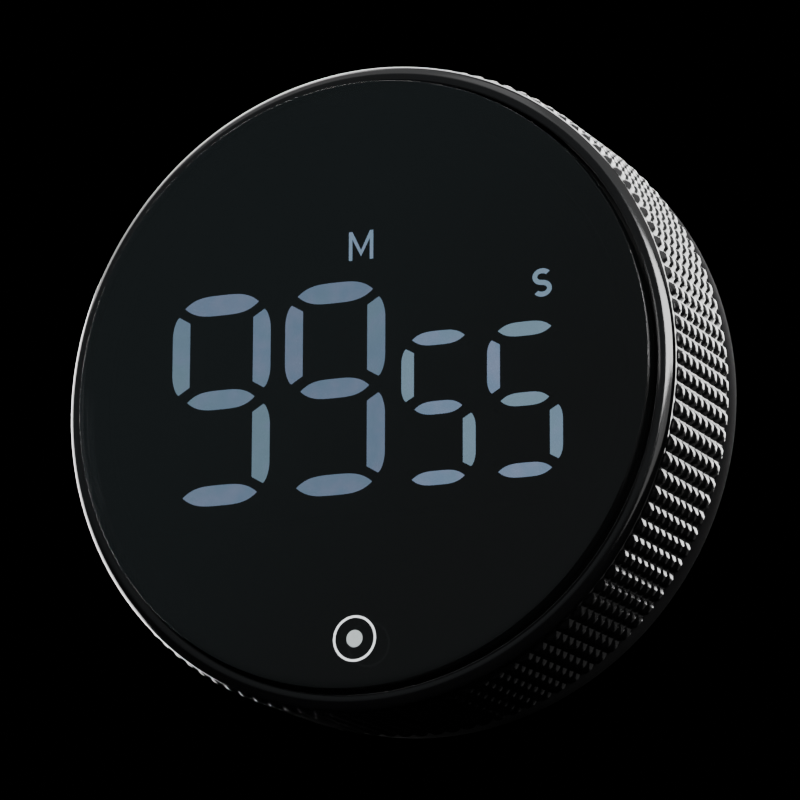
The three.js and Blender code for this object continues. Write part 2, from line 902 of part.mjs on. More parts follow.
const electronics = new THREE.Group();
electronics.add(mesh("main_board", mainBoard(), laminate()));
electronics.add(mesh("board_connector", boardConnector(), package_()));
electronics.add(mesh("controller_chip", controllerChip(), package_()));
electronics.add(mesh("crystal", crystal(), steel()));
electronics.add(mesh("capacitor", capacitor(), package_()));
electronics.add(mesh("tact_switch_body", tactSwitchBody(), package_()));
electronics.add(mesh("tact_plunger", tactPlunger(), acetal()));
electronics.add(mesh("encoder_body", encoderBody(), package_()));
electronics.add(mesh("encoder_pinion", encoderPinion(), acetal()));
electronics.add(mesh("slide_switch_body", slideSwitchBody(), steel()));
electronics.add(mesh("slide_switch_lever", slideSwitchLever(), acetal()));
electronics.add(mesh("volume_knob", volumeKnob(), satin()));
boardScrewPlaces().forEach((place, i) =>
  electronics.add(mesh("board_screw_" + (i + 1), boardScrew(place), steel())),
);

const power = new THREE.Group();
power.add(mesh("battery_upper", cell(1), steel()));
power.add(mesh("battery_lower", cell(-1), steel()));
power.add(mesh("contact_bridge", contactBridge(), nickel()));
power.add(mesh("contact_positive", contactPositive(), nickel()));
power.add(mesh("contact_negative", contactNegative(), nickel()));

const backFittings = new THREE.Group();
[["upper", 1], ["lower", -1]].forEach(([name, s]) => {
  const magnet = disc(0, s * magnetY, magnetR, magnetInset, magnetInset + magnetThick, 28);
  backFittings.add(mesh("magnet_" + name, magnet, nickel()));
});
backFittings.add(mesh("buzzer", buzzer(), package_()));
[-1, 1].forEach((side, i) =>
  backFittings.add(mesh("buzzer_lead_" + (i + 1), buzzerLead(side), package_())),
);

timer.add(dial, casing, pressFace, display, electronics, power, backFittings);

export default timer;
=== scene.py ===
"""Magnetic rotary kitchen timer: smoked press face, lit digits and a knurled dial ring."""
import json
import math

import bmesh
import bpy
import numpy as np
from mathutils import Matrix, Vector

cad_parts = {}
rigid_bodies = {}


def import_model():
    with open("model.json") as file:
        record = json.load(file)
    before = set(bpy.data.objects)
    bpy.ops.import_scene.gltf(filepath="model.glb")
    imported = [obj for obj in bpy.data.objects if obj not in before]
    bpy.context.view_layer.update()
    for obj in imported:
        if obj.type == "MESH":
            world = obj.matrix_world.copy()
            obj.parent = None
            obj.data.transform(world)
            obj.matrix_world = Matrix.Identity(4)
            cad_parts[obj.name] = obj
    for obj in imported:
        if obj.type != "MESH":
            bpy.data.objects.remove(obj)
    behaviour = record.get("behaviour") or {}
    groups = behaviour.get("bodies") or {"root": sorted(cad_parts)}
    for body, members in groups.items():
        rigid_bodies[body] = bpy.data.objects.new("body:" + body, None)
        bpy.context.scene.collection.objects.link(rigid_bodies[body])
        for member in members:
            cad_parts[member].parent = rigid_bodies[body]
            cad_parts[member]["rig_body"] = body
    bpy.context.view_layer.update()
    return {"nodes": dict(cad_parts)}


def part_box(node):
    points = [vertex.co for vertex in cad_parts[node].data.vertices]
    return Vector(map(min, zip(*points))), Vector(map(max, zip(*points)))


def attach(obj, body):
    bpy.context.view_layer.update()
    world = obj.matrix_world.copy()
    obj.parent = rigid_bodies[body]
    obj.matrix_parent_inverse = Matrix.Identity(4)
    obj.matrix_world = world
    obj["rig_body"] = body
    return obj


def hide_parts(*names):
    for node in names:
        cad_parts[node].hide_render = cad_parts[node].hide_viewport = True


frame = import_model()
mm = 0.001
nodes = frame["nodes"]


# --- Camera -----------------------------------------------------------------------------------
# A long lens to the right of the timer and a little below it, so that the face stays nearly
# round and the knurl shows down the right-hand side.
FACE_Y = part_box("lens")[0].y
CAMERA_AIM = Vector((5.6 * mm, FACE_Y, -2.9 * mm))
CAMERA_TURN = 23.64
CAMERA_RISE = -13.46
CAMERA_ROLL = 0.18
CAMERA_DISTANCE = 508.5 * mm
SENSOR = 36.0
FOCAL_LENGTH = 197.9


def outward(turn, rise):
    """The direction turn degrees to the right of straight ahead of the face, rise degrees up."""
    turn, rise = math.radians(turn), math.radians(rise)
    level = math.cos(rise)
    return Vector((math.sin(turn) * level, -math.cos(turn) * level, math.sin(rise)))


camera = bpy.data.objects.new("camera", bpy.data.cameras.new("camera"))
bpy.context.scene.collection.objects.link(camera)
bpy.context.scene.camera = camera
camera.data.sensor_width = SENSOR
camera.data.lens = FOCAL_LENGTH
camera.data.clip_start = 0.01
to_camera = outward(CAMERA_TURN, CAMERA_RISE)
camera.location = CAMERA_AIM + CAMERA_DISTANCE * to_camera
aimed = (-to_camera).to_track_quat("-Z", "Y").to_matrix().to_4x4()
aimed = aimed @ Matrix.Rotation(math.radians(CAMERA_ROLL), 4, "Z")
camera.rotation_euler = aimed.to_euler()


# --- Rear cover and battery door --------------------------------------------------------------
# Injection-moulded ABS with a fine spark-eroded grain on the outside. The cover is a cup that
# the dial ring turns on, and the door clips flush into it.
class Field:
    """A socket of one node tree, so that shader maths reads as ordinary arithmetic."""

    def __init__(self, graph, socket):
        self.graph = graph
        self.socket = socket

    def maths(self, operation, first, second):
        return self.graph.node("Math", {"operation": operation}, {0: first, 1: second})

    def __add__(self, other):
        return self.maths("ADD", self, other)

    __radd__ = __add__

    def __mul__(self, other):
        return self.maths("MULTIPLY", self, other)

    __rmul__ = __mul__

    def __sub__(self, other):
        return self.maths("SUBTRACT", self, other)

    def __rsub__(self, other):
        return self.maths("SUBTRACT", other, self)

    def __pow__(self, other):
        return self.maths("POWER", self, other)


class Graph:
    """One node tree whose sockets are handed about as Fields."""

    def __init__(self, tree):
        self.tree = tree

    def node(self, kind, settings=None, sockets=None, out=0):
        """Adds any shader node: its settings first, then values or links for its sockets."""
        made = self.tree.nodes.new("ShaderNode" + kind)
        for key, value in (settings or {}).items():
            setattr(made, key, value)
        for key, value in (sockets or {}).items():
            self.join(value, made.inputs[key])
        return Field(self, made.outputs[out])

    def join(self, value, socket):
        if isinstance(value, Field):
            self.tree.links.new(value.socket, socket)
        else:
            socket.default_value = value

    def axis(self, letter, space="Object"):
        """One of the X, Y and Z coordinates, in metres in object space."""
        vector = self.node("TexCoord", out=space)
        return self.node("SeparateXYZ", {}, {0: vector}, out=letter)

    def ramp(self, field, low, high):
        """0 below low, 1 above high, and a smooth step between them."""
        settings = {"interpolation_type": "SMOOTHSTEP"}
        return self.node("MapRange", settings, {"Value": field, "From Min": low, "From Max": high})


class Finish(Graph):
    """One procedural material: a Principled shader, with constants on its own sockets."""

    def __init__(self, name, **constants):
        self.material = bpy.data.materials.new(name)
        self.material.use_nodes = True
        super().__init__(self.material.node_tree)
        self.shader = self.tree.nodes["Principled BSDF"]
        for socket, value in constants.items():
            self.put(socket.replace("_", " "), value)

    def put(self, socket, value):
        self.join(value, self.shader.inputs[socket])

    def place(self):
        """Object coordinates, in metres from the middle of the back."""
        return self.node("TexCoord", out="Object")

    def noise(self, size, detail=3.0, rough=0.5):
        """Fractal noise from 0 to 1 whose blobs are size metres across."""
        sockets = {"Vector": self.place(), "Scale": 1 / size, "Detail": detail, "Roughness": rough}
        return self.node("TexNoise", {}, sockets)

    def blend(self, share, first, second):
        """Colour that goes from first to second as share goes from 0 to 1."""
        # A Mix node's colours are its sockets 6 and 7, and its colour output is number 2.
        sockets = {0: share, 6: self.tint(first), 7: self.tint(second)}
        return self.node("Mix", {"data_type": "RGBA"}, sockets, out=2)

    @staticmethod
    def tint(colour):
        """Red, green and blue with the alpha that a socket wants; a Field stays as it is."""
        return colour if isinstance(colour, Field) else (*colour, 1.0)

    def bump(self, height, depth):
        """Raises the surface by height times depth metres, in its shading only."""
        self.put("Normal", self.node("Bump", {}, {"Height": height, "Distance": depth}))


def moulded_finish(name, dark, light, rough, grain=0.16 * mm, depth=0.02 * mm, spec=0.45):
    """Eroded plastic: a fine grain, a cloudy drift of tone, and a few polished patches."""
    finish = Finish(name, Specular_IOR_Level=spec)
    drift = finish.noise(9 * mm, 4.0)
    speck = finish.noise(grain, 2.0, 0.7)
    finish.put("Base Color", finish.blend(finish.ramp(drift, 0.3, 0.7), dark, light))
    finish.put("Roughness", rough + 0.12 * (drift - 0.5) + 0.1 * (speck - 0.5))
    finish.bump(speck, depth)
    return finish.material


def shade_smooth(work, mesh, crease):
    """Smooths the edges that turn by less than crease, and writes the work to the mesh."""
    for edge in work.edges:
        edge.smooth = edge.calc_face_angle(0.0) < crease
    for face in work.faces:
        face.smooth = True
    work.to_mesh(mesh)
    work.free()


def hung(name, mesh, body, replaced=None):
    """A piece that rides on a body, in the place of the node that it replaces, which is hidden."""
    piece = bpy.data.objects.new(name, mesh)
    bpy.context.scene.collection.objects.link(piece)
    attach(piece, body)
    if replaced:
        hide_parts(replaced)
    return piece


def refined(node, width=0.12 * mm, crease=math.radians(38), coplanar=math.radians(0.5)):
    """A copy of a machined node, merged, with its flat faces joined and its edges rounded."""
    source = nodes[node]
    mesh = source.data.copy()
    work = bmesh.new()
    work.from_mesh(mesh)
    bmesh.ops.remove_doubles(work, verts=work.verts, dist=1e-6)
    bmesh.ops.dissolve_limit(work, angle_limit=coplanar, verts=work.verts, edges=work.edges)
    shade_smooth(work, mesh, crease)
    piece = hung(node + "_finished", mesh, source["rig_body"], node)
    bevel = piece.modifiers.new("edges", "BEVEL")
    bevel.width = width
    bevel.segments = 2
    bevel.limit_method = "ANGLE"
    bevel.angle_limit = crease
    bevel.harden_normals = True
    bevel.use_clamp_overlap = True
    return piece


def dress(piece, material):
    """Gives the piece this one material."""
    piece.data.materials.clear()
    piece.data.materials.append(material)


casing = moulded_finish(
    "eroded_black_plastic", (0.005, 0.0052, 0.0054), (0.0064, 0.0066, 0.0068), 0.52, spec=0.2
)
dress(refined("rear_cover"), casing)
door_plastic = moulded_finish(
    "door_black_plastic", (0.0044, 0.0046, 0.0048), (0.0058, 0.006, 0.0062), 0.5, spec=0.2
)
dress(refined("battery_door", 0.15 * mm), door_plastic)


# --- Magnets ----------------------------------------------------------------------------------
# Two sintered neodymium discs with bright nickel plate. They are glued into round pockets in
# the back, just below its surface, and hold the timer to a steel door.
def plated_finish(name, bright, dull, rough):
    """Plated metal: a tight spangle, faint rubbed scratches and slightly dulled patches."""
    finish = Finish(name, Metallic=1.0)
    patch = finish.noise(1.6 * mm, 4.0)
    rub = finish.noise(0.12 * mm, 2.0, 0.8)
    finish.put("Base Color", finish.blend(0.4 * finish.ramp(patch, 0.35, 0.7), bright, dull))
    finish.put("Roughness", rough + 0.1 * (patch - 0.45) + 0.08 * (rub - 0.5))
    finish.bump(rub, 0.004 * mm)
    return finish.material


nickel = plated_finish("nickel_plate", (0.66, 0.63, 0.57), (0.42, 0.40, 0.36), 0.24)
for name in ("magnet_upper", "magnet_lower"):
    dress(refined(name, 0.25 * mm), nickel)


# --- Buzzer and its leads ---------------------------------------------------------------------
# A piezo disc in a small black resin can, behind seven sound holes in the back. Two wires in
# soft insulation run from it to the main board.
resin = moulded_finish("black_resin", (0.012, 0.012, 0.012), (0.025, 0.025, 0.026), 0.42)
dress(nodes["buzzer"], resin)


def insulation_finish(name, colour):
    """Soft wire insulation with a faint waxy bloom."""
    finish = Finish(name, Specular_IOR_Level=0.4)
    bloom = finish.noise(0.7 * mm, 3.0)
    pale = tuple(0.5 * c + 0.1 for c in colour)
    finish.put("Base Color", finish.blend(0.5 * finish.ramp(bloom, 0.4, 0.8), colour, pale))
    finish.put("Roughness", 0.4 + 0.2 * bloom)
    finish.bump(bloom, 0.02 * mm)
    return finish.material


dress(nodes["buzzer_lead_1"], insulation_finish("red_insulation", (0.45, 0.015, 0.012)))
dress(nodes["buzzer_lead_2"], insulation_finish("black_insulation", (0.012, 0.012, 0.012)))


# --- Cells and contacts -----------------------------------------------------------------------
# Two AAA cells lie side by side, nub to spring: steel cans in printed foil sleeves. Their
# contacts, spring steel with nickel plate, stand at the two ends of the bay.
def cell_finish(name, nub_side):
    """A printed foil sleeve, grey with a pale band at the nub end, round a bright steel can."""
    finish = Finish(name, Coat_Weight=0.4, Coat_Roughness=0.15)
    low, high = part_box(name)
    reach = (high.x - low.x) / 2
    middle = (high.x + low.x) / 2
    axis_y = (high.y + low.y) / 2
    axis_z = (high.z + low.z) / 2
    can_r = (high.z - low.z) / 2
    along = nub_side * (finish.axis("X") - middle)
    side = finish.axis("Y") - axis_y
    up = finish.axis("Z") - axis_z
    off_axis = (side * side + up * up) ** 0.5
    band = finish.ramp(along, reach - 12.2 * mm, reach - 12.0 * mm)
    sleeve = finish.ramp(off_axis, can_r - 0.45 * mm, can_r - 0.3 * mm)
    haze = finish.noise(0.8 * mm, 3.0)
    grey = finish.blend(haze, (0.09, 0.095, 0.1), (0.11, 0.115, 0.12))
    pale = finish.blend(haze, (0.4, 0.41, 0.42), (0.46, 0.47, 0.48))
    label = finish.blend(band, grey, pale)
    steel = finish.blend(haze, (0.5, 0.5, 0.5), (0.65, 0.65, 0.64))
    finish.put("Base Color", finish.blend(sleeve, steel, label))
    finish.put("Metallic", 1.0 - 0.65 * sleeve)
    finish.put("Roughness", 0.24 + 0.12 * haze)
    finish.bump(haze, 0.006 * mm)
    return finish.material


for name, nub_side in (("battery_upper", 1), ("battery_lower", -1)):
    dress(refined(name, 0.2 * mm), cell_finish(name, nub_side))
for name in ("contact_bridge", "contact_positive", "contact_negative"):
    dress(refined(name, 0.05 * mm), nickel)


# --- Main board, switches and encoder ---------------------------------------------------------
# Green laminate with moulded parts on it. The pinion on the encoder's shaft meshes with the
# dial's ring gear, and the volume knob works its slide switch through a slot in the back.
def laminate_finish(name, mask, trace):
    """Solder mask over copper: straight tracks show as slightly paler, raised strips."""
    finish = Finish(name, Coat_Weight=0.3, Coat_Roughness=0.2)
    weave = finish.noise(0.5 * mm, 2.0)
    settings = {"feature": "DISTANCE_TO_EDGE"}
    tracks = finish.node("TexVoronoi", settings, {"Vector": finish.place(), "Scale": 1 / (3 * mm)})
    track = 1.0 - finish.ramp(tracks, 0.06, 0.09)
    tone = finish.blend(0.35 * weave, mask, trace)
    finish.put("Base Color", finish.blend(track, tone, trace))
    finish.put("Roughness", 0.38 + 0.15 * weave)
    finish.bump(track + 0.2 * weave, 0.03 * mm)
    return finish.material


green_laminate = laminate_finish("green_laminate", (0.012, 0.07, 0.03), (0.03, 0.15, 0.06))
dress(nodes["main_board"], green_laminate)
acetal = moulded_finish("white_acetal", (0.66, 0.64, 0.58), (0.74, 0.72, 0.66), 0.36)
zinc = plated_finish("zinc_plate", (0.55, 0.56, 0.58), (0.38, 0.39, 0.41), 0.3)
for name in ("board_connector", "controller_chip", "capacitor", "tact_switch_body", "encoder_body"):
    dress(nodes[name], resin)
for name in ("encoder_pinion", "tact_plunger", "slide_switch_lever"):
    dress(nodes[name], acetal)
for name in ("crystal", "slide_switch_body", "board_screw_1", "board_screw_2", "board_screw_3"):
    dress(nodes[name], zinc)
dress(refined("volume_knob", 0.1 * mm), door_plastic)


# --- Front frame and display block ------------------------------------------------------------
# Black mouldings. The frame holds the display and keeps the dial on; the reflector's matt
# walls keep the light of one stroke from leaking into the next. A white board closes its back.
matt_black = moulded_finish(
    "matt_black", (0.004, 0.004, 0.004), (0.007, 0.007, 0.007), 0.75, spec=0.1
)
dress(nodes["front_frame"], casing)
dress(nodes["display_reflector"], matt_black)
white_laminate = laminate_finish("white_laminate", (0.7, 0.7, 0.66), (0.8, 0.8, 0.76))
dress(nodes["display_board"], white_laminate)


# --- Lit digits -------------------------------------------------------------------------------
# Frosted light guides, lit from behind by cool white dies. Their front faces are the strokes
# that the reader sees through the smoked lens; the strokes of 99 and 55 are on.
def grid_mesh(name, points, close_u=True, close_v=False):
    """A quad mesh on an (u, v, 3) array of points, wrapped round in either direction."""
    rows, columns = points.shape[:2]
    u = np.arange(rows if close_u else rows - 1)[:, None]
    v = np.arange(columns if close_v else columns - 1)[None, :]
    row, next_row = u * columns, ((u + 1) % rows) * columns
    next_v = (v + 1) % columns
    corners = [row + v, next_row + v, next_row + next_v, row + next_v]
    quads = np.stack([np.broadcast_to(c, (u.size, v.size)) for c in corners], -1)
    mesh = bpy.data.meshes.new(name)
    mesh.from_pydata(points.reshape(-1, 3).tolist(), [], quads.reshape(-1, 4).tolist())
    return mesh


def placed(name, mesh, body, replaced=None, crease=35):
    """Closes poles and seams, turns the faces outwards and hangs the piece on its body. Edges
    that turn by less than crease degrees are smooth."""
    work = bmesh.new()
    work.from_mesh(mesh)
    bmesh.ops.remove_doubles(work, verts=work.verts, dist=2e-7)
    bmesh.ops.recalc_face_normals(work, faces=work.faces)
    shade_smooth(work, mesh, math.radians(crease))
    return hung(name, mesh, body, replaced)


def level_outline(half, thick, shoulder=3.6, steps=24):
    """Both edges are thick * (1 - |x / half| ** shoulder), so the ends come to a point."""
    x = np.sin(np.linspace(-0.5, 0.5, steps) * math.pi) * half
    y = thick * (1 - np.abs(x / half) ** shoulder)
    return np.concatenate([np.stack([x, y], -1), np.stack([x, -y], -1)[::-1][1:-1]])


def upright_outline(half, thick, tip, corner_drop, shoulder, ease=0.8, steps=10):
    """A straight inner edge, an end that slopes up to a tip, and a rounded shoulder beyond it:
    x goes from the tip to thick as a sine, and y falls by shoulder * (1 - cosine) ** ease."""
    turn = np.linspace(0, math.pi / 2, steps)
    tip_x = tip * thick
    round_x = tip_x + (thick - tip_x) * np.sin(turn)
    round_y = half - shoulder * (1 - np.cos(turn)) ** ease
    upper = np.stack([round_x, round_y], -1)
    lower = (upper * (1, -1))[::-1]
    inner = half - corner_drop
    return np.concatenate([[(-thick, inner)], upper, lower, [(-thick, -inner)]])


CROSS_SHARE = 0.94  # the middle stroke is a little thinner than the other level ones
DRAWN_HALF = 4.75  # half length of the upright stroke whose ends the others scale


def stroke_outlines(mid_x, mid_y, thick, level_half, cross_half, upright_half):
    """The seven strokes a to g of a digit centred on the origin, in millimetres. thick and the
    halves are half widths and half lengths, and mid_x and mid_y the middles of b and a."""
    level_thick, upright_thick = thick
    level = level_outline(level_half, level_thick)
    cross = level_outline(cross_half, level_thick * CROSS_SHARE)
    scale = upright_half / DRAWN_HALF
    upright = upright_outline(upright_half, upright_thick, 0.25, 0.85 * scale, 2.5 * scale)
    right, left = (1, 1), (-1, 1)
    return {
        "a": level + (0, mid_y),
        "b": upright * right + (mid_x, mid_y / 2),
        "c": upright * right + (mid_x, -mid_y / 2),
        "d": level - (0, mid_y),
        "e": upright * left + (-mid_x, -mid_y / 2),
        "f": upright * left + (-mid_x, mid_y / 2),
        "g": cross,
    }


def lit_prisms(name, outlines, lit, replaced, seed=None, power=1.0, lift=0.03 * mm):
    """Closed prisms, from just before the front of the replaced node to its back. Each outline
    is in millimetres about the node's middle. Only the fronts of the lit ones glow. A seed
    gives each its own tint, and without one they are all alike."""
    low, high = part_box(replaced)
    centre = (low + high) / 2
    tints = np.full(len(outlines), 0.5)
    if seed is not None:
        tints = np.random.default_rng(seed).random(len(outlines))
    points, faces, on, shade = [], [], [], []
    start = 0
    for (key, outline), tint in zip(outlines.items(), tints):
        count = len(outline)
        x, z = (outline * mm + (centre.x, centre.z)).T
        points += [np.stack([x, np.full(count, y), z], -1) for y in (low.y - lift, high.y)]
        ring = start + np.arange(count)
        after = np.roll(ring, -1)
        sides = np.stack([ring, after, after + count, ring + count], -1)
        faces += [*sides.tolist(), ring.tolist(), (ring[::-1] + count).tolist()]
        on += [*count * [0.0], power * (key in lit), 0.0]
        shade += (count + 2) * [tint]
        start += 2 * count
    mesh = bpy.data.meshes.new(name)
    mesh.from_pydata(np.concatenate(points).tolist(), [], faces)
    for attribute, values in (("lit", on), ("shade", shade)):
        mesh.attributes.new(attribute, "FLOAT", "FACE").data.foreach_set("value", values)
    return placed(name, mesh, "casing", replaced)


LENS_ALPHA = 0.8
GLOW = 1.0 / (1 - LENS_ALPHA) ** 2  # light passes the lens's front and its back


def glow_finish():
    """Steel blue light that drifts towards teal or lavender from one stroke to the next."""
    finish = Finish("lit_light_guide", Roughness=0.45)
    lit = finish.node("Attribute", {"attribute_name": "lit"}, out="Fac")
    shade = finish.node("Attribute", {"attribute_name": "shade"}, out="Fac")
    drift = finish.noise(7 * mm, 2.0)
    cloud = finish.noise(2.2 * mm, 3.0)
    lean = finish.ramp(0.75 * shade + 0.9 * (drift - 0.5), 0.1, 0.75)
    teal_or_steel = finish.blend(lean, (0.186, 0.292, 0.378), (0.170, 0.260, 0.396))
    lavender = finish.ramp(cloud + 0.3 * shade, 0.55, 0.95)
    colour = finish.blend(lavender, teal_or_steel, (0.206, 0.268, 0.402))
    finish.put("Base Color", finish.blend(cloud, (0.02, 0.022, 0.024), (0.03, 0.032, 0.036)))
    finish.put("Emission Color", finish.blend(lit * (0.93 + 0.14 * cloud), (0, 0, 0), colour))
    finish.put("Emission Strength", GLOW)
    return finish.material


glow = glow_finish()
BIG = stroke_outlines(
    mid_x=5.3, mid_y=11.56, thick=(1.24, 1.15), level_half=4.86, cross_half=4.43, upright_half=4.78
)
SMALL = stroke_outlines(
    mid_x=3.88, mid_y=8.33, thick=(0.84, 0.8), level_half=3.32, cross_half=3.0, upright_half=3.15
)
NINE, FIVE = "abcdfg", "acdfg"
# Each digit's outlines, the strokes that are on, and their share of the full brightness.
SHOWN = ((BIG, NINE, 0.68), (BIG, NINE, 0.66), (SMALL, FIVE, 0.87), (SMALL, FIVE, 0.9))
FIRST_SEED = 41
for number, (outlines, lit, power) in enumerate(SHOWN, 1):
    guide, seed = f"digit_guide_{number}", FIRST_SEED + number - 1
    dress(lit_prisms(f"digit_{number}", outlines, lit, guide, seed, power), glow)


def m_outlines(wide=3.14, high=3.5, stem=0.45):
    """Two stems, and two diagonals that meet in the middle above the foot of the letter."""
    half, top = wide / 2, high / 2
    inner = half - stem
    valley = -0.76 * top
    post = np.array([(half, top), (half, -top), (inner, -top), (inner, top)])
    slope = np.array([
        (inner, top), (inner, top - 2.1 * stem), (0, valley), (0, valley + 1.7 * stem)
    ])
    left = (-1, 1)
    return {"post": post, "slope": slope, "left_post": post * left, "left_slope": slope * left}


def s_outlines(high=3.4, stroke=0.6, widen=1.3, steps=15):
    """A band of even width along two arcs that meet in the middle of the letter."""
    bend = (high - stroke) / 4
    turn = np.radians(np.linspace(38, 270, steps))
    upper = np.stack([widen * bend * np.cos(turn), bend + bend * np.sin(turn)], -1)
    normal = np.stack([np.cos(turn), np.sin(turn)], -1)
    path = np.concatenate([upper, -upper[::-1][1:]])
    side = np.concatenate([normal, normal[::-1][1:]])
    return {"band": np.concatenate([path + side * stroke / 2, (path - side * stroke / 2)[::-1]])}


for letter, outlines in (("m", m_outlines()), ("s", s_outlines())):
    dress(lit_prisms(f"letter_{letter}", outlines, outlines, f"letter_guide_{letter}"), glow)


# --- Press face -------------------------------------------------------------------------------
# A smoked acrylic disc, polished, with a softened edge, on a black carrier that tilts about its
# top edge. A ring and a dot on its front, in pale ink, mark the tact switch behind it.
def whole_turn(steps):
    """Even angles round a circle, one to a row."""
    return np.linspace(0, 2 * math.pi, steps, endpoint=False)[:, None]


def swept(radius, y, angle):
    """Points at (radius * cos(angle), y, radius * sin(angle)), a row of them for each angle."""
    x, z = radius * np.cos(angle), radius * np.sin(angle)
    return np.stack([x, np.broadcast_to(y, x.shape), z], -1)


def turned(name, profile, body, replaced, steps=256):
    """The closed profile of (radius, y) points turned about the dial's axis."""
    points = swept(profile[:, 0], profile[:, 1], whole_turn(steps))
    return placed(name, grid_mesh(name, points, True, True), body, replaced)


def fillet(centre, radius, start, stop, steps=8):
    """An arc of (radius, y) points; 0 degrees points outwards and -90 to the front."""
    turn = np.radians(np.linspace(start, stop, steps))
    return np.stack([centre[0] + radius * np.cos(turn), centre[1] + radius * np.sin(turn)], -1)


def lens_profile(edge=0.025 * mm, chamfer=0.02 * mm):
    """Flat back, straight side, a quarter-round front edge and a flat front."""
    low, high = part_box("lens")
    reach = high.x
    back = [(0, high.y), (reach - chamfer, high.y), (reach, high.y - chamfer)]
    front = fillet((reach - edge, low.y + edge), edge, 0, -90)
    flat = [(r * reach, low.y) for r in (0.97, 0.6, 0.0)]
    return np.array([*back, *front, *flat])


def lens_finish():
    """Smoked acrylic: nearly black, glossy, with faint wiping haze in its polish, and a painted
    sheen: its colour is lighter and cooler towards the upper left.
    """
    finish = Finish("smoked_acrylic", Alpha=LENS_ALPHA, Specular_IOR_Level=0.5, IOR=1.49)
    haze = finish.noise(14 * mm, 5.0, 0.6)
    across = finish.axis("Z") - finish.axis("X")
    # Painted sheen: the base colour grows lighter and cooler from the lower right of the lens to
    # its upper left.
    painted_sheen = finish.ramp(across + 6 * mm * (haze - 0.5), -40 * mm, 30 * mm)
    finish.put("Base Color", finish.blend(painted_sheen, (0.0016, 0.0018, 0.0018), (0.0021, 0.0032, 0.0035)))
    finish.put("Roughness", 0.07 + 0.05 * finish.ramp(haze, 0.4, 0.75))
    return finish.material


lens = turned("lens_polished", lens_profile(), "face", "lens")
dress(lens, lens_finish())
dress(nodes["face_carrier"], matt_black)
dress(nodes["lens_tape"], matt_black)


def ink_finish(name, tone, painted_glow_share):
    """Pale ink with a slight mottle, and a painted glow: the ink shines by itself, whatever lights
    it.
    """
    finish = Finish(name, Specular_IOR_Level=0.3)
    mottle = finish.noise(0.35 * mm, 3.0)
    faint, strong = [tuple(share * c for c in tone) for share in (0.88, 1.1)]
    finish.put("Base Color", finish.blend(mottle, faint, strong))
    finish.put("Roughness", 0.5 + 0.2 * mottle)
    # Painted glow: the ink's own colour is also its emission, so it shines without a lamp.
    finish.put("Emission Color", finish.blend(mottle, faint, strong))
    finish.put("Emission Strength", painted_glow_share)
    return finish.material


def ink_ring(name, inner, outer, steps=96, lift=0.03 * mm):
    """A flat ring of ink, or a dot where inner is nought, round the point above the switch."""
    low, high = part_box("tact_plunger")
    centre_x, centre_z = (low.x + high.x) / 2, (low.z + high.z) / 2
    profile = np.array([(inner, 0), (outer, 0), (outer, -lift), (inner, -lift)])
    points = swept(profile[:, 0], FACE_Y + profile[:, 1], whole_turn(steps))
    points = points + (centre_x, 0, centre_z)
    piece = placed(name, grid_mesh(name, points, True, True), "face")
    return piece


# The ring and the dot shine by painted glow, the dot at half strength.
ring_ink = ink_finish("ring_ink", (0.45, 0.47, 0.48), 1.0)
dot_ink = ink_finish("dot_ink", (0.225, 0.25, 0.25), 0.5)
dress(ink_ring("mark_ring", 2.42 * mm, 2.7 * mm), ring_ink)
dress(ink_ring("mark_dot", 0.0, 1.0 * mm), dot_ink)


# --- Dial ring --------------------------------------------------------------------------------
# Gloss black ABS with a rounded front lip, a smooth band, rows of square pyramids for grip and
# a plain rear rim. The ring gear is bonded inside it.
DIAL_WALL = 2.4 * mm
BAND_INSET = 0.4 * mm  # of the smooth band and rim below the crests
LIP_R, FACE_R, CROWN_R, RIM_R = 0.28 * mm, 2.4 * mm, 0.76 * mm, 0.6 * mm
CHAMFER = 0.3 * mm
KNURL_ROWS = 120
KNURL_RINGS = 8
KNURL_DEPTH = 0.5 * mm
KNURL_START = 3.4 * mm
KNURL_STOP = 20.0 * mm
ROUND_STOPS = (0.12, 0.26, 0.43, 0.5)
ALONG_STOPS = (0.16, 0.33, 0.45, 0.5)
ROUND_HEIGHTS = (1.0, 0.78, 0.02, 0.0)
ALONG_HEIGHTS = (1.0, 0.74, 0.18, 0.0)


def pitch_shares(stops, count):
    """Points over count pitches, in pitches: the stops, mirrored about each crest."""
    one = np.array([-stops[2], -stops[1], -stops[0], *stops])
    return (np.arange(count)[:, None] + one[None]).ravel()


def knurl_height(share, stops, heights):
    """0 in the valley, 1 on the crest, and a flank with a softened shoulder and foot."""
    off_centre = np.abs((share + 0.5) % 1.0 - 0.5)
    return np.interp(off_centre, stops, heights)


